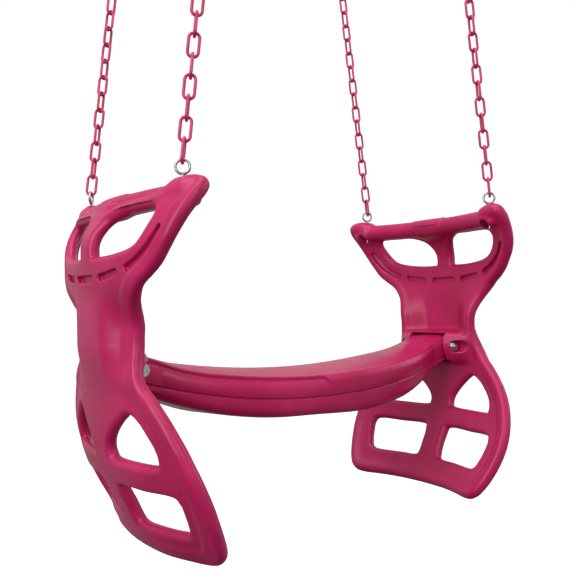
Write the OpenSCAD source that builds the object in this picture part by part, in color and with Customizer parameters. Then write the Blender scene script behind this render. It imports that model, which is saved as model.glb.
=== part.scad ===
// Four-chain glider swing: two curved end panels with hand grips and foot
// rests, joined by one sagging seat and hung from four coated chains.
// Millimetres, +Z up, +X from the left panel to the right one, +Y to the rear.
// The origin is the centre of the four hooks' bearing points.

/* [Panels] */
// Distance between the webs of the two end panels
web_gap = 900; // [860:10:1000]
// Wall thickness of a panel over both skins
panel_t = 26; // [24:1:28]
// Radius of a panel's curve about a vertical line
curve_r = 555; // [520:5:620]
// Diameter of the hand grip bar
grip_d = 35; // [30:1:36]

/* [Seat] */
// Width of the seat at its middle
seat_w = 196; // [180:2:210]
// Depth of the seat shell at its middle
seat_h = 90; // [80:1:92]
// How far the seat's top sags at its middle
seat_sag = 44; // [30:1:44]
// Width of the tongue at each end of the seat
tongue_w = 108; // [100:1:112]

/* [Chains] */
// Number of links in each chain
links = 18; // [10:2:24]
// Link pitch
pitch = 34.8; // [34:0.1:36]
// Diameter of the coated link wire
link_d = 5.4; // [5:0.1:5.6]
// Outside width of a link
link_w = 23; // [22:0.5:24]
// Lean of the chains toward the middle, per unit of height
lean = 0.1256; // [0.10:0.0002:0.14]

/* [Hardware] */
// Wire diameter of the eyebolts
eye_wire = 5; // [4.5:0.1:5.5]
// Outside diameter of an eyebolt's ring
eye_d = 28; // [27:0.5:30]
// Diameter of a seat bolt
bolt_d = 10; // [9:0.5:10]
// Wire diameter of the snap hooks
hook_wire = 6; // [5.5:0.1:6.5]
// Inside width of a snap hook
hook_in = 20; // [18:1:22]

/* [Hidden] */
$fn = 64;

web_x = web_gap / 2;
plastic = [0.76, 0.13, 0.37];
vinyl = [0.82, 0.16, 0.38];
zinc = [0.78, 0.79, 0.80];
gap = 0.4;            // running clearance between wires that hook together
// The right-hand chains hang a little loose: their lower ends are the pivots
// that the linkage leaves open
slack = 2.4;
slack_shift = 2.1;

// Heights in the glider's own frame: zero is the row of short slots above the
// neck of a panel. The whole glider is lowered by hang_z at the end.
panel_top = 154;
panel_bottom = -475;
grip_z = 124;
seat_bolt_z = -157;
seat_bolt_u = 60;     // inward from the web
eye_u = 76;
eye_y = 198;
pocket_z = 112;       // middle of the nut pocket in a corner
pocket_d = 24;
block_foot = 94;      // underside of a corner block

eye_ring_r = (eye_d - eye_wire) / 2;
eye_center_z = panel_top + 4 + eye_d / 2;
eye_pivot_z = eye_center_z + eye_ring_r;
link_in = pitch + 0.3;
link_r = (link_w - link_d) / 2;
lean_len = sqrt(1 + lean * lean);
first_in = -(eye_wire / 2 + gap);
chain_len = first_in + (links - 1) * pitch + link_in - gap - hook_wire / 2;
hook_x = web_x - eye_u - chain_len * lean / lean_len;
hook_z = eye_pivot_z + chain_len / lean_len;
hook_arc_r = (hook_in + hook_wire) / 2;
hook_rise = 34;       // straight length between a hook's two bends
hang_z = hook_z + 2 * hook_arc_r + hook_rise - hook_wire / 2;

// Smooth curve through hand-picked points, steps pieces to a stretch
function mix3(a, b, c, d, t) =
    0.5 * (2 * b + (c - a) * t + (2 * a - 5 * b + 4 * c - d) * t * t
        + (3 * b - a - 3 * c + d) * t * t * t);
function smooth(p, steps) = [
    for (i = [0 : len(p) - 2], k = [0 : steps - 1])
        mix3(p[max(i - 1, 0)], p[i], p[i + 1], p[min(i + 2, len(p) - 1)], k / steps),
    p[len(p) - 1]
];

// Half outline of a panel seen from the end, bottom to top
half_outline = [
    [0, -475], [112, -475], [172, -472], [201, -457], [218, -430], [231, -398], [237, -360],
    [236, -328], [227, -293], [209, -256], [178, -215], [142, -181], [121, -145], [113, -108],
    [119, -66], [132, -40], [158, -12], [190, 12], [214, 39], [231, 70],
    [242, 104], [245, 130], [237, 149], [222, 155], [200, 157], [184, 152], [172, 143],
    [160, 131], [146, 124], [0, 124]
];
grip_hole = [
    [28, 38], [80, 39], [125, 45], [150, 53], [167, 69], [178, 90],
    [172, 106], [110, 108], [64, 106], [40, 92], [26, 68]
];
upper_foot_hole = [
    [104, -226], [78, -239], [54, -261], [37, -282], [42, -304], [100, -305],
    [158, -303], [163, -284], [149, -258], [128, -238]
];
lower_foot_hole = [
    [44, -352], [110, -352], [172, -351], [182, -366], [176, -393], [164, -417],
    [140, -423], [80, -423], [42, -422], [32, -408], [32, -366]
];

// Closed version of the same curve
function smooth_loop(p, steps) = [
    for (i = [0 : len(p) - 1], k = [0 : steps - 1])
        mix3(p[(i + len(p) - 1) % len(p)], p[i], p[(i + 1) % len(p)], p[(i + 2) % len(p)],
            k / steps)
];

// How far the panel's middle surface curls inward at height z
function curl(z) =
    z < -100 ? pow(z + 100, 2) / 1380
    : z < 45 ? 0
    : z < grip_z ? 42 * pow((z - 45) / (grip_z - 45), 1.7)
    : 42 + 0.1 * (z - grip_z);
curl_z = [
    panel_bottom - 4, -430, -390, -350, -310, -270, -230, -190, -150, -100, 45,
    61, 77, 93, 109, grip_z, panel_top
];

// Strip of thickness t along the panel's side profile, as radius and height
module profile(t) {
    polygon(concat(
        [for (z = curl_z) [curve_r - curl(z) + t / 2, z]],
        [for (i = [len(curl_z) - 1 : -1 : 0])
            [curve_r - curl(curl_z[i]) - t / 2, curl_z[i]]]
    ));
}

module curved_sheet(t) {
    translate([web_x - curve_r, 0, 0]) rotate_extrude($fn = 360) profile(t);
}

// A shape drawn in (y, z) and pushed through the right panel along X
module through(x0, x1) {
    translate([x0, 0, 0]) rotate([90, 0, 90]) linear_extrude(x1 - x0) children();
}

module both_sides() {
    children();
    mirror([1, 0]) children();
}

module front_outline() {
    difference() {
        both_sides() polygon(smooth(half_outline, 3));
        both_sides() polygon(smooth_loop(grip_hole, 3));
        both_sides() polygon(smooth_loop(upper_foot_hole, 3));
        both_sides() polygon(smooth_loop(lower_foot_hole, 3));
    }
}

module slot(y0, z0, y1, z1) {
    long = norm([y1 - y0, z1 - z0]);
    translate([y0, z0]) rotate(atan2(z1 - z0, y1 - y0)) {
        translate([0, -4]) square([long, 8]);
        circle(4);
        translate([long, 0]) circle(4);
    }
}

// The five shallow recesses above the neck
module slots() {
    slot(-30, 0, 30, 0);
    both_sides() {
        slot(60, 1, 108, 8);
        slot(138, 15, 168, 30);
        slot(168, 30, 190, 50);
        slot(190, 50, 203, 74);
    }
}

module panel_shell() {
    difference() {
        intersection() {
            curved_sheet(panel_t);
            through(web_x - 210, web_x + 20) front_outline();
        }
        difference() {
            through(web_x - 80, web_x + 20) slots();
            curved_sheet(panel_t - 10);
        }
    }
}

// Block that carries the hand grip's end and an eyebolt
module corner_block(side) {
    intersection() {
        translate([web_x - eye_u, side * eye_y, (panel_top + block_foot) / 2])
            cube([44, 52, panel_top - block_foot], center = true);
        through(web_x - 210, web_x + 20) front_outline();
    }
}

module grip_bar() {
    bar_u = curl(grip_z);
    translate([web_x - curve_r, 0, grip_z]) intersection() {
        rotate_extrude($fn = 360) translate([curve_r - bar_u, 0]) circle(d = grip_d);
        translate([curve_r / 2, -190, -40]) cube([curve_r, 380, 80]);
    }
}

// The pair of round-nosed cheeks and the back that hold the seat's tongue
module seat_socket() {
    cheek = 34;
    nose_r = 39;
    translate([web_x - seat_bolt_u, 0, seat_bolt_z - 4]) rotate([90, 0, 0]) {
        cylinder(r = nose_r, h = tongue_w + 2 * cheek, center = true);
        translate([0, -nose_r, -tongue_w / 2 - cheek])
            cube([seat_bolt_u - 10, 2 * nose_r, tongue_w + 2 * cheek]);
    }
}

module panel_cuts() {
    // mortise for the seat's tongue
    translate([web_x - 110, -tongue_w / 2 - 0.4, -196.4])
        cube([92, tongue_w + 0.8, 68.8]);
    // bolt hole and the two recesses for its head and nut
    translate([web_x - seat_bolt_u, 0, seat_bolt_z]) rotate([90, 0, 0]) {
        cylinder(d = bolt_d + 0.8, h = 260, center = true);
        for (s = [-1, 1])
            translate([0, 0, s * (tongue_w / 2 + 18 + 30)]) cylinder(d = 27, h = 60, center = true);
    }
    for (s = [-1, 1])
        translate([web_x - eye_u, s * eye_y, 0]) {
            cylinder(d = eye_wire + 1.4, h = 200);
            translate([-40, 0, pocket_z]) rotate([0, 90, 0]) cylinder(d = pocket_d, h = 52);
        }
}

module panel() {
    color(plastic) difference() {
        union() {
            panel_shell();
            corner_block(-1);
            corner_block(1);
            grip_bar();
            intersection() {
                seat_socket();
                through(web_x - 210, web_x + 20) front_outline();
            }
        }
        panel_cuts();
    }
}

// Seat: side view swept across its width, cut to its plan
function seat_top(x) = -136 - seat_sag * (1 - pow(abs(x) / 400, 2.2));
function seat_bottom(x) = -192 - (seat_sag + seat_h - 56) * (1 - pow(abs(x) / 400, 2.4));
function seat_half(x) =
    tongue_w / 2 + (seat_w - tongue_w) / 2 * (1 - pow(min(abs(x) / 345, 1), 3));
seat_x = [for (i = [-10 : 10]) i * 40];
seat_body_x = web_x - 100;   // the body stops short of the cheeks

module seat() {
    color(plastic) difference() {
        union() {
            intersection() {
                rotate([90, 0, 0]) linear_extrude(260, center = true) polygon(concat(
                    [for (x = seat_x) [x, seat_top(x)]],
                    [for (i = [len(seat_x) - 1 : -1 : 0]) [seat_x[i], seat_bottom(seat_x[i])]]
                ));
                translate([0, 0, -320]) linear_extrude(240) intersection() {
                    polygon(concat(
                        [for (x = seat_x) [x, seat_half(x)]],
                        [for (i = [len(seat_x) - 1 : -1 : 0]) [seat_x[i], -seat_half(seat_x[i])]]
                    ));
                    square([2 * seat_body_x, 260], center = true);
                }
            }
            for (s = [-1, 1])
                translate([s * (web_x - 18.4 - 52), 0, -162])
                    cube([104, tongue_w, 68], center = true);
        }
        for (s = [-1, 1])
            translate([s * (web_x - seat_bolt_u), 0, seat_bolt_z]) rotate([90, 0, 0])
                cylinder(d = bolt_d + 5, h = 200, center = true);
    }
}

bolt_reach = tongue_w / 2 + 18;    // from the middle to a recess floor

module seat_bolt(side) {
    color(zinc) translate([side * (web_x - seat_bolt_u), 0, seat_bolt_z]) rotate([90, 0, 0]) {
        cylinder(d = bolt_d, h = 2 * bolt_reach + 22, center = true);
        translate([0, 0, bolt_reach + 2]) cylinder(d = 17, h = 6.4, $fn = 6);
    }
}

module seat_nut(side) {
    color(zinc) translate([side * (web_x - seat_bolt_u), bolt_reach + 2, seat_bolt_z])
        rotate([-90, 0, 0]) difference() {
            union() {
                cylinder(d = 18, h = 7, $fn = 6);
                cylinder(d = 14, h = 9);
            }
            translate([0, 0, -1]) cylinder(d = bolt_d + 0.02, h = 12);
        }
}

module seat_bolt_washers() {
    color(zinc) for (side = [-1, 1], end = [-1, 1])
        translate([side * (web_x - seat_bolt_u), end * (bolt_reach + 1), seat_bolt_z])
            rotate([90, 0, 0]) difference() {
                cylinder(d = 24, h = 2, center = true);
                cylinder(d = bolt_d + 0.6, h = 4, center = true);
            }
}

// Steel tube in the seat's tongue that the bolt clamps against
module bolt_sleeve(side) {
    color(zinc) translate([side * (web_x - seat_bolt_u), 0, seat_bolt_z]) rotate([90, 0, 0])
        difference() {
            cylinder(d = bolt_d + 5, h = tongue_w, center = true);
            cylinder(d = bolt_d + 1, h = tongue_w + 2, center = true);
        }
}

module eyebolt(side, end, turn) {
    color(zinc) translate([side * (web_x - eye_u), end * eye_y, 0]) {
        translate([0, 0, eye_center_z]) rotate([90, 0, turn])
            rotate_extrude() translate([eye_ring_r, 0]) circle(d = eye_wire);
        translate([0, 0, pocket_z - 8])
            cylinder(d = eye_wire, h = eye_center_z - eye_ring_r - pocket_z + 8);
        translate([0, 0, panel_top]) cylinder(d = 10, h = 2);
    }
}

module eyebolt_nuts() {
    color(zinc) for (side = [-1, 1], end = [-1, 1])
        translate([side * (web_x - eye_u), end * eye_y, pocket_z + 3.7]) difference() {
            cylinder(d = 10, h = 5, $fn = 6);
            translate([0, 0, -1]) cylinder(d = eye_wire + 0.02, h = 8);
        }
}

module eyebolt_washers() {
    color(zinc) for (side = [-1, 1], end = [-1, 1])
        translate([side * (web_x - eye_u), end * eye_y, pocket_z + 8.7]) difference() {
            cylinder(d = 13, h = 1.2);
            translate([0, 0, -1]) cylinder(d = eye_wire + 0.5, h = 4);
        }
}

// One link standing on the inside of its lower bend, in the XZ plane
module link() {
    straight = link_in - 2 * (link_r - link_d / 2);
    low = link_r - link_d / 2;
    for (s = [-1, 1]) {
        translate([s * link_r, 0, low]) cylinder(d = link_d, h = straight);
        translate([0, 0, s < 0 ? low : low + straight]) rotate([90, s < 0 ? 180 : 0, 0])
            rotate_extrude(angle = 180) translate([link_r, 0]) circle(d = link_d);
    }
}

// Links turn by quarter turns, with a slow twist that ends square to the hook
module chain(side, end, turn) {
    twist = -turn / (links - 1);
    loose = side > 0 ? slack : 0;
    shift = side > 0 ? slack_shift : 0;
    foot_z = hook_z - chain_len / lean_len;
    foot_x = web_x - eye_u + shift;
    tilt = atan((foot_x - hook_x) / (hook_z - foot_z + loose));
    step = pitch + loose / (links - 1);
    color(vinyl) translate([side * hook_x, end * eye_y, hook_z]) rotate([0, -side * tilt, 0])
        for (k = [0 : links - 1])
            translate([0, 0, hook_wire / 2 + gap - link_in - k * step])
                rotate([0, 0, twist * (links - 1 - k) + turn + 90 * (k % 2)]) link();
}

// Snap hook in the YZ plane, its lower bend centred on the chain's pivot
gate_foot = 5;        // straight stub below the gate
gate_pin_d = 3;
module hook(side, end) {
    r = hook_arc_r;
    color(zinc) translate([side * hook_x, end * eye_y, hook_z]) {
        translate([0, 0, r]) rotate([90, 180, 90])
            rotate_extrude(angle = 180) translate([r, 0]) circle(d = hook_wire);
        translate([0, 0, r + hook_rise]) rotate([90, 0, 90])
            rotate_extrude(angle = 180) translate([r, 0]) circle(d = hook_wire);
        translate([0, end * r, r]) cylinder(d = hook_wire, h = hook_rise);
        translate([0, -end * r, r + hook_rise - 4]) cylinder(d = hook_wire, h = 4);
        translate([0, -end * r, r]) difference() {
            union() {
                cylinder(d = hook_wire, h = 1);
                translate([-1.2, -hook_wire / 2, 0.5]) cube([2.4, hook_wire, gate_foot + 1.5]);
            }
            translate([0, 0, gate_foot]) rotate([0, 90, 0])
                cylinder(d = gate_pin_d + 0.02, h = 20, center = true);
        }
    }
}

// Spring gate: a rod with a forked foot round the hook's tang
module gate(side, end) {
    r = hook_arc_r;
    color(zinc) translate([side * hook_x, end * (eye_y - r), hook_z + r]) difference() {
        union() {
            translate([0, 0, 8.5]) cylinder(d = hook_wire - 0.8, h = hook_rise - 4.5 - 8.5);
            translate([-3.2, -2.8, gate_foot - 2.5]) cube([6.4, 5.6, 8.5]);
        }
        translate([-1.4, -5, 0]) cube([2.8, 10, 9.2]);
        translate([0, 0, gate_foot]) rotate([0, 90, 0])
            cylinder(d = gate_pin_d + 0.12, h = 20, center = true);
    }
}

module gate_rivets() {
    color(zinc) for (side = [-1, 1], end = [-1, 1])
        translate([side * hook_x, end * (eye_y - hook_arc_r), hook_z + hook_arc_r + gate_foot])
            rotate([0, 90, 0]) cylinder(d = gate_pin_d, h = 6.4, center = true);
}

// Lowers the glider so that the hooks' bearing points lie at height zero
module hung() {
    translate([0, 0, -hang_z]) children();
}

hung() mirror([1, 0, 0]) panel();  // left_panel
hung() panel();  // right_panel
hung() seat();
hung() seat_bolt(-1);  // left_seat_bolt
hung() seat_bolt(1);  // right_seat_bolt
hung() seat_nut(-1);  // left_seat_nut
hung() seat_nut(1);  // right_seat_nut
hung() seat_bolt_washers();
hung() bolt_sleeve(-1);  // left_bolt_sleeve
hung() bolt_sleeve(1);  // right_bolt_sleeve
hung() eyebolt(-1, -1, -36);  // eyebolt_left_front
hung() eyebolt(-1, 1, 54);  // eyebolt_left_rear
hung() eyebolt(1, -1, -50);  // eyebolt_right_front
hung() eyebolt(1, 1, -24);  // eyebolt_right_rear
hung() eyebolt_nuts();
hung() eyebolt_washers();
hung() chain(-1, -1, -36);  // chain_left_front
hung() chain(-1, 1, 54);  // chain_left_rear
hung() chain(1, -1, -50);  // chain_right_front
hung() chain(1, 1, -24);  // chain_right_rear
hung() hook(-1, -1);  // hook_left_front
hung() hook(-1, 1);  // hook_left_rear
hung() hook(1, -1);  // hook_right_front
hung() hook(1, 1);  // hook_right_rear
hung() gate(-1, -1);  // gate_left_front
hung() gate(-1, 1);  // gate_left_rear
hung() gate(1, -1);  // gate_right_front
hung() gate(1, 1);  // gate_right_rear
hung() gate_rivets();
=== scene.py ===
"""Looks of the four-chain glider swing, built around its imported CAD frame.

The two end panels and the seat are blow-moulded shells, so each is modelled here as a smooth
closed mesh that replaces its plainer CAD solid. The chains, eyebolts, hooks and fasteners keep
their CAD shapes and get their finishes here. The glider's lengths are millimetres in its own
frame, whose zero height is the row of short slots above a panel's neck, until to_frame() turns
them into metres in the CAD frame. The stage and the lights are in metres.
"""
import math

import bpy
import numpy as np
from mathutils import Matrix, Vector


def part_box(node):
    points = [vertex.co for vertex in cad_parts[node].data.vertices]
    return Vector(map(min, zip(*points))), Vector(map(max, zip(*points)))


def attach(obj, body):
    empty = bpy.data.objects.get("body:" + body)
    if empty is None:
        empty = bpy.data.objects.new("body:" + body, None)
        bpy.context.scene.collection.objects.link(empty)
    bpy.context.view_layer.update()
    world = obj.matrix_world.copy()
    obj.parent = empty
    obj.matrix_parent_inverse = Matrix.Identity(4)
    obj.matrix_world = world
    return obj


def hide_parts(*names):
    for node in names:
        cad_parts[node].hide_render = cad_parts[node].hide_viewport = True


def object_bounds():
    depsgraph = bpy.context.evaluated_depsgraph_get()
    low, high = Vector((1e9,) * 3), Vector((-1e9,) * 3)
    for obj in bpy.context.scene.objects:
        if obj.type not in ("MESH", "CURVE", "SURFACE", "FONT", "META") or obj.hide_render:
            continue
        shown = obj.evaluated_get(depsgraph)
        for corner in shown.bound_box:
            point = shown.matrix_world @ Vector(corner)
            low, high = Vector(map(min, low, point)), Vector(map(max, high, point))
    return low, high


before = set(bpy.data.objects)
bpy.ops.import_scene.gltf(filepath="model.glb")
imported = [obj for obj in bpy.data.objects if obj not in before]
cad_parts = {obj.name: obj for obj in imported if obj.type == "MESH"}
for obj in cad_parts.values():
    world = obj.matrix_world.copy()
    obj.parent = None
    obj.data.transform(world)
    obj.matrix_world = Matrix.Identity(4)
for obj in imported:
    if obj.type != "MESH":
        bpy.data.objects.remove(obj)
cad_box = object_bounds()

# ---------------------------------------------------------------- driving sizes, mm
MM = 0.001
PANEL_BOTTOM = -475.0
CURVE_R = 555.0          # panel's curve about a vertical line
HALF_T = 13.0            # half the wall thickness
EDGE_R = 12.0            # rounding of every rim and opening

EYE_U = 76.0             # eyebolts inward from the web
EYE_Y = 198.0            # and either side of the middle
EYE_HOLE_R = 3.2
EYE_HOLE_FROM = 100.0    # height at which the hole starts
POCKET_R = 11.5          # nut pocket under the ear, open toward the seat
POCKET_U = 66.0
POCKET_Z = 112.0
EAR_MIDDLE = (80.0, 202.0, 129.0)    # box that carries the eyebolt, as (u, y, z)
EAR_HALF = 8.0
EAR_ROUND = 13.0

BAR_R = 18.6             # grip bar
BAR_COLLAR = 2.0         # how much thicker it is over the post
BAR_HALF = 196.0

BOLT_U = 60.0            # seat bolt, inward from the web
BOLT_Z = -157.0
BOLT_HOLE_R = 5.6
RECESS_R = 13.5          # round recess for its head or nut
RECESS_FROM = 72.0

SOCKET_U = 80.0          # cheeks beside the tongue: how far they stand in from the web
SOCKET_Z = -160.0
SOCKET_HALF_Z = 37.0
SOCKET_HALF_Y = 106.0
MORTISE_Z = -162.0       # the slot between them that takes the tongue
MORTISE_HALF_Z = 34.9
MORTISE_FLOOR = 18.0
MORTISE_PLAY = 0.9

TONGUE_HALF = 54.0       # half width of the seat's tongue
SEAT_HALF = 98.0         # half width of the seat at its middle
SEAT_END = 431.0         # half length of the seat over its tongues
CHANNEL_DEEP = 5.5       # finger channel under the seat's rim

GRID = 2.0               # cell of the grid the panel is polygonised on
GRID_U = (-20, 170)      # reach of that grid
GRID_Y = 252
GRID_Z = (-482, 168)
FAR = 1e9                # a distance beyond anything here

# The frame says where the glider hangs: the middle of the ring bolts' shanks and the panel's foot
left_low, left_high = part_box("left_panel")
HANG_Z = left_low.z / MM - PANEL_BOTTOM
ring_low, ring_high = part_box("eyebolt_left_front")
WEB_X = EYE_U - (ring_low.x + ring_high.x) / 2 / MM

CORNERS = [side + "_" + end for side in ("left", "right") for end in ("front", "rear")]


def to_frame(points):
    """Glider millimetres to metres in the CAD frame."""
    out = np.array(points, float)
    out[:, 2] += HANG_Z
    return out * MM


def smoothstep(low, high, value):
    """0 below low, 1 above high, and a smooth rise between."""
    t = np.clip((value - low) / (high - low), 0, 1)
    return t * t * (3 - 2 * t)


def smooth_min(a, b, k):
    """Union of two distance fields, with a fillet about k wide."""
    h = np.clip(0.5 + 0.5 * (b - a) / k, 0, 1)
    return b + (a - b) * h - k * h * (1 - h)


def smooth_max(a, b, k):
    """Intersection of two distance fields, with a rounding about k wide."""
    return -smooth_min(-a, -b, k)


# ---------------------------------------------------------------- meshes
def new_object(name, vertices, faces):
    """Smooth-shaded mesh object, linked to the scene."""
    mesh = bpy.data.meshes.new(name)
    mesh.from_pydata([tuple(v) for v in vertices], [], [tuple(int(i) for i in f) for f in faces])
    mesh.validate()
    mesh.update()
    mesh.polygons.foreach_set("use_smooth", [True] * len(mesh.polygons))
    obj = bpy.data.objects.new(name, mesh)
    bpy.context.scene.collection.objects.link(obj)
    return obj


# ---------------------------------------------------------------- end panel
# Half outline, bottom to top, and the three openings of one half, as (y, z), in whole millimetres.
# They follow the edges seen in the photograph, measured at steps of height.
HALF_OUTLINE = [
    (0, -475), (112, -475), (168, -474), (193, -465), (208, -449), (219, -429), (229, -403),
    (236, -372), (237, -345), (234, -320), (227, -295), (218, -272), (205, -250), (191, -231),
    (176, -214), (160, -197), (143, -181), (130, -163), (121, -144), (115, -125), (113, -106),
    (115, -86), (120, -67), (129, -48), (143, -30), (160, -13), (180, 1), (198, 17),
    (211, 35), (224, 55), (234, 77), (241, 101), (245, 123), (243, 137), (236, 147),
    (222, 152), (202, 153), (186, 149), (174, 141), (162, 132), (146, 128), (0, 128),
]
GRIP_HOLE = [
    (25, 42), (29, 38), (55, 37), (90, 39), (125, 44), (147, 51), (160, 61), (170, 74),
    (176, 86), (178, 97), (172, 107), (154, 110), (110, 110), (78, 110), (56, 103), (42, 95),
    (32, 82), (26, 66),
]
UPPER_FOOT_HOLE = [
    (104, -226), (84, -235), (66, -249), (50, -264), (37, -281), (34, -296), (44, -304),
    (100, -305), (156, -303), (165, -294), (161, -276), (147, -257), (128, -238),
]
LOWER_FOOT_HOLE = [
    (44, -352), (110, -352), (170, -351), (182, -361), (180, -380), (174, -400), (163, -418),
    (140, -423), (80, -423), (42, -422), (32, -409), (32, -364),
]
# Centre lines of the shallow pinch slots above the neck
SLOTS = [
    [(0, 0), (30, 0)],
    [(60, 1), (84, 4), (108, 8)],
    [(136, 14), (154, 22), (171, 33), (186, 46), (197, 60), (205, 73)],
]
SLOT_HALF = 6.0
SLOT_DEEP = 8.5


def catmull(points, steps, closed):
    """Catmull-Rom curve through the points, with this many steps from each to the next."""
    p = np.array(points, float)
    n = len(p)
    if closed:
        before, after, last = np.roll(p, 1, 0), np.roll(p, -1, 0), np.roll(p, -2, 0)
        start, spans = p, n
    else:
        padded = np.vstack([p[:1], p, p[-1:]])
        before, start, after, last = padded[:n - 1], p[:-1], p[1:], padded[3:n + 2]
        spans = n - 1
    t = (np.arange(steps) / steps)[None, :, None]
    a, b, c, d = (q[:spans, None, :] for q in (before, start, after, last))
    curve = 0.5 * (2 * b + (c - a) * t + (2 * a - 5 * b + 4 * c - d) * t ** 2
                   + (3 * b - a - 3 * c + d) * t ** 3)
    curve = curve.reshape(-1, 2)
    return curve if closed else np.vstack([curve, p[-1]])


def nearest_on(line, closed, y, z):
    """Distance to a polyline, its gradient, and whether each point is inside it when closed."""
    start = line if closed else line[:-1]
    step = (np.roll(line, -1, 0) if closed else line[1:]) - start
    length2 = (step ** 2).sum(1)
    best = np.full(y.shape, FAR)
    off_y, off_z = np.zeros(y.shape), np.zeros(y.shape)
    inside = np.zeros(y.shape, bool)
    for (py, pz), (sy, sz), l2 in zip(start, step, length2):
        if l2 < 1e-9:
            continue
        t = np.clip(((y - py) * sy + (z - pz) * sz) / l2, 0, 1)
        dy, dz = y - py - t * sy, z - pz - t * sz
        d2 = dy * dy + dz * dz
        closer = d2 < best
        best = np.where(closer, d2, best)
        off_y = np.where(closer, dy, off_y)
        off_z = np.where(closer, dz, off_z)
        if closed:
            crosses = (pz <= z) != (pz + sz <= z)
            at = py + (z - pz) * sy / (sz if abs(sz) > 1e-12 else 1e-12)
            inside ^= crosses & (y < at)
    distance = np.sqrt(best)
    scale = 1 / np.maximum(distance, 1e-6)
    return distance, off_y * scale, off_z * scale, inside


def outline_distance(y, z):
    """Signed distance in the (y, z) plane to the panel's outline and openings, its gradient, and
    the distance to the outer rim alone."""
    half = catmull(HALF_OUTLINE, 6, False)
    outline = np.vstack([half, half[-2:0:-1] * [-1, 1]])
    d, gy, gz, inside = nearest_on(outline, True, y, z)
    sign = np.where(inside, -1.0, 1.0)
    field, field_y, field_z = d * sign, gy * sign, gz * sign
    rim = field
    for hole in (GRIP_HOLE, UPPER_FOOT_HOLE, LOWER_FOOT_HOLE):
        d, gy, gz, inside = nearest_on(catmull(hole, 6, True), True, y, z)
        sign = np.where(inside, 1.0, -1.0)
        nearer = d * sign > field
        field = np.where(nearer, d * sign, field)
        field_y = np.where(nearer, gy * sign, field_y)
        field_z = np.where(nearer, gz * sign, field_z)
    return field, field_y, field_z, rim


def slot_distance(y, z):
    """Signed distance in the (y, z) plane to the nearest pinch slot."""
    best = np.full(y.shape, FAR)
    for line in SLOTS:
        best = np.minimum(best, nearest_on(np.array(line, float), False, y, z)[0])
    return best - SLOT_HALF


def web_u(y, z):
    """How far inward the middle of the wall lies: the curve about a vertical line, the curl of the
    foot and of the grip, and the rims that roll inward along the neck."""
    around = CURVE_R - np.sqrt(CURVE_R ** 2 - y ** 2)
    side = smoothstep(60, 200, y)
    foot = (15 * (1 - smoothstep(-200, -110, z)) + np.minimum(z + 240, 0) ** 2 / 530
            - 13 * (1 - side) * (1 - smoothstep(-462, -385, z)))
    at_post = 28 * (np.clip(z - 50, 0, 80) / 55) ** 1.9
    at_rim = 33 * (np.clip(z - 50, 0, 120) / 78) ** 2
    outer = smoothstep(60, 190, y)
    back = 3 * smoothstep(-35, 10, z)
    neck = smoothstep(-185, -108, z) * (1 - smoothstep(-90, -8, z))
    roll = 28 * smoothstep(46, 104, y) * neck
    return around + foot + at_post * (1 - outer) + at_rim * outer - back + roll


def half_wall(rim):
    """Half thickness: a rounded bead runs along the outer rim, with a shallow dip beside it."""
    return HALF_T - 2.6 * smoothstep(16, 30, -rim) + 1.2 * smoothstep(34, 60, -rim)


def bar_line(y):
    """Middle of the grip bar's section, and its radius: bowed, with a collar over the post."""
    u = 50 + 28 * (y / 190) ** 2
    z = 127 + 2 * (y / 190) ** 2
    radius = BAR_R + BAR_COLLAR * (1 - smoothstep(46, 50, y))
    return u, z, radius


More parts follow.
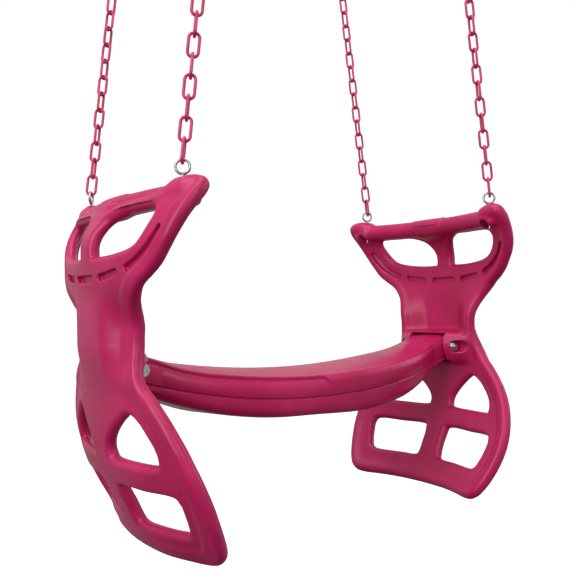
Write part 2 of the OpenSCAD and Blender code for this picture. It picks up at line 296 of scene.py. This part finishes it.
def panel_field(u, y, z, sheet):
    """Signed distance, near the surface, of one end panel. y is the distance from the middle, and
    sheet holds what depends on (y, z) alone."""
    outline, toward_y, toward_z, rim, slots = sheet
    reach = 1.0
    slope_y = (web_u(y + reach, z) - web_u(y - reach, z)) / (2 * reach)
    slope_z = (web_u(y, z + reach) - web_u(y, z - reach)) / (2 * reach)
    steep = np.sqrt(1 + slope_y ** 2 + slope_z ** 2)
    wall = (u - web_u(y, z)) / steep
    climb = toward_y * slope_y + toward_z * slope_z
    across = (outline + np.clip(wall, -20, 20) / steep * climb) * np.sqrt(1 + climb ** 2) + EDGE_R
    thick = half_wall(rim)
    through = np.abs(wall) - (thick - EDGE_R)
    field = (np.minimum(np.maximum(across, through), 0)
             + np.hypot(np.maximum(across, 0), np.maximum(through, 0)) - EDGE_R)
    # ears that carry the eyebolts
    qu, qy, qz = (np.abs(place - middle) - EAR_HALF
                  for place, middle in zip((u, y, z), EAR_MIDDLE))
    ear = (np.sqrt(np.maximum(qu, 0) ** 2 + np.maximum(qy, 0) ** 2 + np.maximum(qz, 0) ** 2)
           + np.minimum(np.maximum(np.maximum(qu, qy), qz), 0) - EAR_ROUND)
    field = smooth_min(field, ear, 15)
    # grip bar, with the post flowing into it
    bar_u, bar_z, radius = bar_line(y)
    bar = np.hypot((u - bar_u) * 0.98, z - bar_z) - radius
    blend = 9 + 17 * (1 - smoothstep(22, 46, y))
    field = smooth_min(field, smooth_max(bar, y - BAR_HALF, 6), blend)
    # socket: cheeks that stand out beside the tongue and slope away into the rolled rims
    mouth = SOCKET_U - np.where(z > -150, 0.016, 0.010) * (z + 150) ** 2
    mouth = mouth - 0.5 * np.maximum(y - TONGUE_HALF, 0) - 0.012 * np.maximum(y - 84, 0) ** 2
    block = smooth_max((u - mouth) * 0.85, np.abs(z - SOCKET_Z) - SOCKET_HALF_Z, 12)
    block = smooth_max(block, y - SOCKET_HALF_Y, 12)
    socket = smooth_max(block, -wall, 2)
    field = smooth_min(field, socket, 14)
    mortise = np.maximum(y - TONGUE_HALF - MORTISE_PLAY, np.abs(z - MORTISE_Z) - MORTISE_HALF_Z)
    mortise = np.maximum(mortise, MORTISE_FLOOR - u)
    field = smooth_max(field, -mortise, 2.5)
    bolt = np.hypot(u - BOLT_U, z - BOLT_Z)
    field = smooth_max(field, -np.maximum(bolt - RECESS_R, RECESS_FROM - y), 2.5)
    field = smooth_max(field, BOLT_HOLE_R - bolt, 1)
    # eyebolt holes and the nut pockets that open inward
    shank = np.maximum(np.hypot(u - EYE_U, y - EYE_Y) - EYE_HOLE_R, EYE_HOLE_FROM - z)
    field = smooth_max(field, -shank, 1)
    pocket = np.maximum(np.hypot(y - EYE_Y, z - POCKET_Z) - POCKET_R, POCKET_U - u)
    field = smooth_max(field, -pocket, 3)
    # pinch slots in both skins
    slot = np.maximum(slots, thick - SLOT_DEEP - np.abs(wall))
    return smooth_max(field, -slot, 2.2)


def surface_net(values, origin, cell):
    """Closed quad mesh around the negative part of a grid of values."""
    neg = values < 0
    nx, ny, nz = values.shape
    total = np.zeros((nx - 1, ny - 1, nz - 1, 3))
    count = np.zeros((nx - 1, ny - 1, nz - 1))
    edges = []
    for axis in range(3):
        low = [slice(None)] * 3
        high = [slice(None)] * 3
        low[axis], high[axis] = slice(0, -1), slice(1, None)
        a, b = values[tuple(low)], values[tuple(high)]
        cut = neg[tuple(low)] != neg[tuple(high)]
        index = np.argwhere(cut)
        t = a[cut] / (a[cut] - b[cut])
        point = index.astype(float)
        point[:, axis] += t
        edges.append((axis, index, neg[tuple(low)][cut]))
        others = [k for k in range(3) if k != axis]
        for s0 in (0, -1):
            for s1 in (0, -1):
                home = index.copy()
                home[:, others[0]] += s0
                home[:, others[1]] += s1
                keep = np.all((home >= 0) & (home < [nx - 1, ny - 1, nz - 1]), axis=1)
                h = home[keep]
                np.add.at(total, (h[:, 0], h[:, 1], h[:, 2]), point[keep])
                np.add.at(count, (h[:, 0], h[:, 1], h[:, 2]), 1)
    used = count > 0
    number = np.full(count.shape, -1)
    number[used] = np.arange(used.sum())
    vertices = total[used] / count[used][:, None] * cell + origin
    faces = []
    for axis, index, inside_low in edges:
        b, c = [k for k in range(3) if k != axis]
        ring = []
        for s0, s1 in ((0, 0), (-1, 0), (-1, -1), (0, -1)):
            home = index.copy()
            home[:, b] += s0
            home[:, c] += s1
            ring.append(number[home[:, 0], home[:, 1], home[:, 2]])
        quad = np.stack(ring, 1)
        turn = inside_low if axis == 1 else ~inside_low
        quad[turn] = quad[turn][:, ::-1]
        faces.append(quad)
    return vertices, np.vstack(faces)


def panel_mesh():
    """Vertices as (inward from the web, y, z) and quads of one end panel."""
    u = np.arange(GRID_U[0], GRID_U[1] + GRID, GRID)
    y = np.arange(-GRID_Y, GRID_Y + GRID, GRID)
    z = np.arange(GRID_Z[0], GRID_Z[1] + GRID, GRID)
    half = y >= 0
    yy, zz = np.meshgrid(y[half], z, indexing="ij")
    sheet = [part[None] for part in (*outline_distance(yy, zz), slot_distance(yy, zz))]
    right = panel_field(u[:, None, None], yy[None], zz[None], sheet)
    values = np.concatenate([right[:, :0:-1], right], axis=1)
    vertices, faces = surface_net(values, np.array([u[0], y[0], z[0]]), GRID)
    # pull the vertices onto the surface, a few careful Newton steps each
    for _ in range(3):
        side = np.where(vertices[:, 1] < 0, -1.0, 1.0)
        pu, py, pz = vertices[:, 0], np.abs(vertices[:, 1]), vertices[:, 2]
        outline, gy, gz, rim = outline_distance(py, pz)
        d = 0.25

        def at(du, dy, dz):
            moved_slots = slot_distance(py + dy, pz + dz)
            moved = (outline + gy * dy + gz * dz, gy, gz, rim, moved_slots)
            return panel_field(pu + du, py + dy, pz + dz, moved)

        value = at(0, 0, 0)
        gradient = np.stack([(at(d, 0, 0) - value) / d, (at(0, d, 0) - value) / d,
                             (at(0, 0, d) - value) / d], 1)
        size2 = np.maximum((gradient ** 2).sum(1), 0.2)
        move = -(value / size2)[:, None] * gradient
        move = np.clip(move, -0.45 * GRID, 0.45 * GRID)
        move[:, 1] *= side
        vertices = vertices + move * 0.8
    return vertices, faces


def build_panels(material):
    """Both end panels from one mesh, mirrored in x."""
    vertices, faces = panel_mesh()
    for side, sign in (("left", -1), ("right", 1)):
        x = sign * (WEB_X - vertices[:, 0])
        points = np.stack([x, vertices[:, 1], vertices[:, 2]], 1)
        turned = faces if sign < 0 else faces[:, ::-1]
        obj = new_object(side + "_end_panel", to_frame(points), turned)
        obj.data.materials.append(material)
        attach(obj, "glider")
        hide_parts(side + "_panel")


# ---------------------------------------------------------------- seat
def seat_lines(x):
    """Heights of the crown, rim, side groove and belly, and the half width, at x."""
    r = np.abs(x)
    crown = -127 - 53 * (1 - (r / SEAT_END) ** 2) + 6 * smoothstep(300, 375, r)
    rim = crown - 12 + 9 * smoothstep(250, 400, r)
    groove = -176 - 58 * (1 - np.minimum(r / 400, 1) ** 2.2)
    belly = -192 - 79 * (1 - np.minimum(r / 400, 1) ** 2.4)
    half = TONGUE_HALF + (SEAT_HALF - TONGUE_HALF) * (1 - np.minimum(r / 345, 1) ** 3)
    return crown, rim, groove, belly, half


def seat_side(x, side):
    """Control points, as (y, z) from the crown to the belly, of one side of the seat at x. Half of
    each side has a shallow finger channel under its rim, which ends near the middle."""
    crown, rim, groove, belly, half = seat_lines(x)

    def sag(along):
        return 10 * smoothstep(-60, 150, along) * (1 - smoothstep(220, 390, along))

    def bottom(share):
        return belly - sag(side * x) * (0.5 + 0.5 * share) - sag(-side * x) * (0.5 - 0.5 * share)

    points = [(share * half, crown - (crown - rim) * (share / 0.92) ** 2)
              for share in (0.0, 0.22, 0.42, 0.6, 0.76, 0.87)]
    # rounded rim: offset in y and z from its corner, and the channel's share of its depth there
    edge = [(-6.5, 0.8, 0), (-4.2, -1.2, 0.1), (-2.8, -4, 0.45), (-1.2, -7.5, 1.0),
            (-0.4, -10.5, 0.85), (0, -14, 0.55), (0, -19, 0.3), (-0.4, -25, 0.05)]
    for dy, dz, share in edge:
        ends = -16 + (-2 - dz) * 1.1
        depth = CHANNEL_DEEP * share * (1 - smoothstep(ends - 2, ends + 3, side * x))
        depth = depth * smoothstep(-395, -370, side * x)
        points.append((half + dy - depth, rim + dz * np.minimum(1, (rim - belly) / 60)))
    middle = (rim - 25 + groove) / 2
    low = (groove + bottom(1)) / 2
    points += [(half - 1.2, middle), (half - 2.2, groove + 6), (half - 2.4, groove + 3),
               (half - 3.2, groove + 1.6), (half - 6.5, groove + 0.6), (half - 6.5, groove - 1.2),
               (half - 4.6, groove - 2.6), (half - 4.6, groove - 5), (half - 5.2, low),
               (half - 8.5, bottom(1) + 9), (half - 14, bottom(0.9) + 2.2),
               (half - 24, bottom(0.8)), (half * 0.6, bottom(0.6)),
               (half * 0.3, bottom(0.3)), (half * 0, bottom(0))]
    return [(-side * py, pz) for py, pz in points]


def seat_mesh():
    """Vertices and faces of the seat: closed B-spline rings lofted along x, and two end caps."""
    fine = np.linspace(-26, 26, 41)
    coarse = np.linspace(28, SEAT_END, 92)
    x = np.concatenate([-coarse[::-1], fine, coarse])
    near = seat_side(x, 1)
    far = seat_side(x, -1)
    control = near[1:] + far[-2:0:-1] + [near[0]]
    y = np.stack([np.broadcast_to(p[0], x.shape) for p in control], 1)
    z = np.stack([np.broadcast_to(p[1], x.shape) for p in control], 1)
    steps = 4
    rings = []
    for values in (y, z):
        before, after, last = np.roll(values, 1, 1), np.roll(values, -1, 1), np.roll(values, -2, 1)
        t = (np.arange(steps) / steps)[None, None, :]
        a, b, c, d = (q[:, :, None] for q in (before, values, after, last))
        spline = ((1 - t) ** 3 * a + (3 * t ** 3 - 6 * t ** 2 + 4) * b
                  + (-3 * t ** 3 + 3 * t ** 2 + 3 * t + 1) * c + t ** 3 * d) / 6
        rings.append(spline.reshape(len(x), -1))
    ny = rings[0].shape[1]
    points = np.stack([np.repeat(x[:, None], ny, 1), rings[0], rings[1]], 2).reshape(-1, 3)
    grid = np.arange(len(x) * ny).reshape(len(x), ny)
    a, b = grid[:-1], grid[1:]
    quads = np.stack([a, np.roll(a, -1, 1), np.roll(b, -1, 1), b], 2).reshape(-1, 4)
    faces = [tuple(q) for q in quads]
    for ring, flip in ((grid[0], False), (grid[-1], True)):
        centre = points[ring].mean(0)
        points = np.vstack([points, centre])
        middle = len(points) - 1
        for i, j in zip(ring, np.roll(ring, -1)):
            faces.append((middle, j, i) if not flip else (middle, i, j))
    return points, faces


def build_seat(material):
    """The seat, in place of its CAD solid."""
    points, faces = seat_mesh()
    obj = new_object("bench_seat", to_frame(points), faces)
    obj.data.materials.append(material)
    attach(obj, "glider")
    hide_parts("seat")


# ---------------------------------------------------------------- materials
class Nodes:
    """Short helper around one material's node tree."""

    def __init__(self, name):
        self.material = bpy.data.materials.new(name)
        self.material.use_nodes = True
        self.tree = self.material.node_tree
        self.shader = self.tree.nodes["Principled BSDF"]
        self.place = self.add("ShaderNodeTexCoord").outputs["Object"]

    def add(self, kind, **values):
        node = self.tree.nodes.new(kind)
        for key, value in values.items():
            setattr(node, key, value)
        return node

    def link(self, a, b):
        self.tree.links.new(a, b)

    def noise(self, scale, detail=3.0, rough=0.5, squash=None):
        """Noise of the object's own coordinates, stretched where squash is below 1."""
        source = self.place
        if squash is not None:
            mapping = self.add("ShaderNodeMapping")
            mapping.inputs["Scale"].default_value = squash
            self.link(source, mapping.inputs["Vector"])
            source = mapping.outputs["Vector"]
        node = self.add("ShaderNodeTexNoise")
        node.inputs["Scale"].default_value = scale
        node.inputs["Detail"].default_value = detail
        node.inputs["Roughness"].default_value = rough
        self.link(source, node.inputs["Vector"])
        return node.outputs["Fac"]

    def ramp(self, source, stops):
        node = self.add("ShaderNodeValToRGB")
        ramp = node.color_ramp
        while len(ramp.elements) < len(stops):
            ramp.elements.new(0.5)
        for element, (position, colour) in zip(ramp.elements, stops):
            element.position = position
            element.color = (*colour, 1)
        self.link(source, node.inputs["Fac"])
        return node.outputs["Color"]

    def spread(self, source, low, high):
        """A noise, whose values lie mostly between 0.3 and 0.7, spread from low to high."""
        node = self.add("ShaderNodeMapRange")
        node.inputs["From Min"].default_value = 0.3
        node.inputs["From Max"].default_value = 0.7
        node.inputs["To Min"].default_value = low
        node.inputs["To Max"].default_value = high
        self.link(source, node.inputs["Value"])
        return node.outputs["Result"]

    def tint(self, factor, under, colour):
        """One colour laid over another colour's socket by a factor's socket."""
        node = self.add("ShaderNodeMix", data_type="RGBA")
        self.link(factor, node.inputs["Factor"])
        self.link(under, node.inputs[6])
        node.inputs[7].default_value = (*colour, 1)
        return node.outputs[2]

    def bump(self, height, strength, distance, before=None):
        node = self.add("ShaderNodeBump")
        node.inputs["Strength"].default_value = strength
        node.inputs["Distance"].default_value = distance
        self.link(height, node.inputs["Height"])
        if before is not None:
            self.link(before, node.inputs["Normal"])
        return node.outputs["Normal"]

    def finish(self, colour, rough, normal=None, **sockets):
        """Link the sockets that vary and set the rest, whose names have _ for a space."""
        self.link(colour, self.shader.inputs["Base Color"])
        self.link(rough, self.shader.inputs["Roughness"])
        if normal is not None:
            self.link(normal, self.shader.inputs["Normal"])
        for key, value in sockets.items():
            self.shader.inputs[key.replace("_", " ")].default_value = value
        return self.material


def moulded_plastic(name, deep, main, light, rough=(0.30, 0.40)):
    """Blow-moulded polyethylene: even colour with a faint cloudiness, fine orange peel, and a
    painted highlight that lightens the sharper convex rims and edges."""
    n = Nodes(name)
    cloud = n.noise(7.0, 4.0, 0.55)
    fine = n.noise(60.0, 3.0, 0.5)
    colour = n.ramp(cloud, [(0.32, deep), (0.52, main), (0.72, light)])
    colour = n.tint(n.spread(fine, 0.0, 0.10), colour, light)
    # painted highlight: where pointiness is high, along convex rims and edges, the colour is
    # tinted up to 30% toward the light tone
    pointed = n.add("ShaderNodeNewGeometry").outputs["Pointiness"]
    edge = n.add("ShaderNodeMapRange")
    edge.inputs["From Min"].default_value = 0.52
    edge.inputs["From Max"].default_value = 0.60
    edge.inputs["To Max"].default_value = 0.30
    n.link(pointed, edge.inputs["Value"])
    colour = n.tint(edge.outputs["Result"], colour, light)
    peel = n.noise(950.0, 2.0, 0.4)
    ripple = n.noise(38.0, 2.0, 0.4)
    scuff = n.noise(24.0, 6.0, 0.65, (1.0, 1.0, 4.0))
    normal = n.bump(ripple, 0.05, 0.002)
    normal = n.bump(peel, 0.10, 0.0004, normal)
    return n.finish(colour, n.spread(scuff, *rough), normal, IOR=1.5, Specular_IOR_Level=0.38)


def coated_vinyl(name, deep, main, light):
    """Soft plastisol dipped over the links: glossy, slightly uneven, thicker where it ran."""
    n = Nodes(name)
    run = n.noise(90.0, 3.0, 0.5, (1.0, 1.0, 0.45))
    colour = n.ramp(run, [(0.3, deep), (0.5, main), (0.75, light)])
    normal = n.bump(run, 0.20, 0.0008)
    normal = n.bump(n.noise(520.0, 2.0), 0.08, 0.0003, normal)
    return n.finish(colour, n.spread(n.noise(160.0, 3.0), 0.24, 0.40), normal, IOR=1.52)


def plated_steel(name, dark, bright, rough, scale=260.0):
    """Zinc plate: brushed and mottled."""
    n = Nodes(name)
    mottle = n.noise(scale, 5.0, 0.6)
    brush = n.noise(1400.0, 3.0, 0.6, (1.0, 1.0, 0.12))
    colour = n.ramp(mottle, [(0.3, dark), (0.6, bright)])
    normal = n.bump(brush, 0.12, 0.0002)
    normal = n.bump(mottle, 0.10, 0.0003, normal)
    return n.finish(colour, n.spread(brush, *rough), normal, Metallic=1.0)


def paint_node(node, material):
    """Give a carried-over CAD node its finish."""
    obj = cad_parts[node]
    obj.data.materials.clear()
    obj.data.materials.append(material)


# ---------------------------------------------------------------- stage, light and camera
FLOOR_DROP = 0.30        # metres from the lowest point of the glider to the floor
FLOOR_FRONT = -5.0       # the sweep's near edge, along the view
FLOOR_DEEP = 3.6         # its wall
FLOOR_HIGH = 4.4
FLOOR_BEND = 1.5
FLOOR_REACH = 9.0        # half its width
BEND_STEPS = 24


def build_stage():
    """Pale floor that bends up into a wall behind the glider. It neither lights the glider nor
    shows in it."""
    floor_z = cad_box[0][2] - FLOOR_DROP
    deep, high, curve = FLOOR_DEEP, FLOOR_HIGH, FLOOR_BEND
    profile = [(FLOOR_FRONT, 0.0), (deep - curve, 0.0)]
    for k in range(1, BEND_STEPS + 1):
        angle = k / BEND_STEPS * math.pi / 2
        profile.append((deep - curve + curve * math.sin(angle), curve - curve * math.cos(angle)))
    profile.append((deep, high))
    vertices, faces = [], []
    facing = Vector((math.cos(VIEW_YAW), math.sin(VIEW_YAW), 0))
    across = Vector((facing.y, -facing.x, 0))
    for along, up in profile:
        for reach in (-FLOOR_REACH, FLOOR_REACH):
            p = facing * along + across * reach
            vertices.append((p.x, p.y, floor_z + up))
    for i in range(len(profile) - 1):
        faces.append((2 * i, 2 * i + 1, 2 * i + 3, 2 * i + 2))
    floor = new_object("floor", vertices, faces)
    n = Nodes("pale_backdrop")
    tone = n.ramp(n.noise(3.0, 3.0), [(0.3, (0.93, 0.93, 0.93)), (0.7, (0.96, 0.96, 0.96))])
    floor.data.materials.append(n.finish(tone, n.spread(n.noise(30.0), 0.8, 0.9),
                                         Emission_Color=(1, 1, 1, 1), Emission_Strength=0.48))
    floor.visible_diffuse = False
    floor.visible_glossy = False


def area_light(name, power, size, place, target):
    """White softbox of size (wide, high) metres at place, facing target."""
    data = bpy.data.lights.new(name, "AREA")
    data.shape = "RECTANGLE"
    data.size, data.size_y = size
    data.energy = power
    light = bpy.data.objects.new(name, data)
    bpy.context.scene.collection.objects.link(light)
    light.location = place
    light.rotation_euler = (Vector(target) - Vector(place)).to_track_quat("-Z", "Y").to_euler()


def build_light():
    """Soft sky that is dark below, and four softboxes round the glider."""
    world = bpy.data.worlds.new("soft_studio")
    bpy.context.scene.world = world
    world.use_nodes = True
    tree = world.node_tree
    back = tree.nodes["Background"]
    place = tree.nodes.new("ShaderNodeTexCoord")
    split = tree.nodes.new("ShaderNodeSeparateXYZ")
    tree.links.new(place.outputs["Generated"], split.inputs[0])
    ramp = tree.nodes.new("ShaderNodeValToRGB")
    ramp.color_ramp.elements[0].position = 0.0
    ramp.color_ramp.elements[0].color = (0.04, 0.04, 0.04, 1)
    ramp.color_ramp.elements[1].position = 0.62
    ramp.color_ramp.elements[1].color = (1, 1, 1, 1)
    lift = tree.nodes.new("ShaderNodeMapRange")
    lift.inputs["From Min"].default_value = -1
    lift.inputs["From Max"].default_value = 1
    tree.links.new(split.outputs["Z"], lift.inputs["Value"])
    tree.links.new(lift.outputs["Result"], ramp.inputs["Fac"])
    tree.links.new(ramp.outputs["Color"], back.inputs["Color"])
    back.inputs["Strength"].default_value = 0.55
    middle = (0, 0, -0.95)
    area_light("overhead_softbox", 40, (2.4, 2.4), (-0.5, -0.3, 1.6), middle)
    area_light("left_softbox", 46, (1.0, 2.6), (-2.9, -1.1, 0.2), middle)
    area_light("front_softbox", 16, (1.2, 1.6), (-0.6, -3.0, 0.6), middle)
    area_light("right_softbox", 10, (0.8, 2.2), (2.6, -1.2, 0.2), middle)


# The photograph's viewpoint: position in glider millimetres, heading and tilts in degrees
VIEW_FROM = (-917.15, -1229.25, -44.40)
VIEW_YAW = math.radians(54.169)
VIEW_PITCH = math.radians(1.034)
VIEW_ROLL = math.radians(-1.116)
VIEW_WIDE = 576.0        # picture's width, and focal length in the same unit
VIEW_FOCAL = 730.0
VIEW_FIELD = 2 * math.atan(VIEW_WIDE / 2 / VIEW_FOCAL)


def build_camera():
    """Camera at the photograph's viewpoint."""
    data = bpy.data.cameras.new("camera")
    data.sensor_fit = "HORIZONTAL"
    data.sensor_width = 36
    data.angle = VIEW_FIELD
    data.clip_end = 60
    camera = bpy.data.objects.new("camera", data)
    bpy.context.scene.collection.objects.link(camera)
    ahead = Vector((math.cos(VIEW_PITCH) * math.cos(VIEW_YAW),
                    math.cos(VIEW_PITCH) * math.sin(VIEW_YAW), math.sin(VIEW_PITCH)))
    level = Vector((math.sin(VIEW_YAW), -math.cos(VIEW_YAW), 0))
    right = level * math.cos(VIEW_ROLL) + level.cross(ahead) * math.sin(VIEW_ROLL)
    up = right.cross(ahead)
    turn = Matrix((right, up, -ahead)).transposed()
    camera.matrix_world = Matrix.Translation(to_frame([VIEW_FROM])[0]) @ turn.to_4x4()
    bpy.context.scene.camera = camera


# ---------------------------------------------------------------- assembly
PINK_DEEP = (0.400, 0.005, 0.072)
PINK = (0.475, 0.008, 0.096)
PINK_LIGHT = (0.550, 0.019, 0.138)
SEAT_DEEP = (0.400, 0.005, 0.068)
SEAT_PINK = (0.475, 0.008, 0.090)
SEAT_LIGHT = (0.55, 0.019, 0.13)
SEAT_ROUGH = (0.24, 0.33)
VINYL_DEEP = (0.42, 0.012, 0.075)
VINYL = (0.56, 0.022, 0.115)
VINYL_LIGHT = (0.66, 0.05, 0.17)

panel_plastic = moulded_plastic("panel_plastic", PINK_DEEP, PINK, PINK_LIGHT)
seat_plastic = moulded_plastic("seat_plastic", SEAT_DEEP, SEAT_PINK, SEAT_LIGHT, SEAT_ROUGH)
chain_vinyl = coated_vinyl("chain_vinyl", VINYL_DEEP, VINYL, VINYL_LIGHT)
zinc = plated_steel("bright_zinc", (0.36, 0.36, 0.37), (0.78, 0.78, 0.78), (0.16, 0.34))
eye_zinc = plated_steel("eyebolt_zinc", (0.16, 0.16, 0.17), (0.55, 0.55, 0.56), (0.12, 0.30))
hook_zinc = plated_steel("hook_zinc", (0.42, 0.42, 0.44), (0.80, 0.80, 0.80), (0.18, 0.36), 180.0)

build_panels(panel_plastic)
build_seat(seat_plastic)
for corner in CORNERS:
    paint_node("chain_" + corner, chain_vinyl)
    paint_node("eyebolt_" + corner, eye_zinc)
    paint_node("hook_" + corner, hook_zinc)
    paint_node("gate_" + corner, zinc)
for part in ("left_seat_bolt", "right_seat_bolt", "left_seat_nut", "right_seat_nut",
             "seat_bolt_washers", "left_bolt_sleeve", "right_bolt_sleeve",
             "eyebolt_nuts", "eyebolt_washers", "gate_rivets"):
    paint_node(part, zinc)

build_stage()
build_light()
build_camera()
bpy.context.scene.view_settings.view_transform = "Standard"
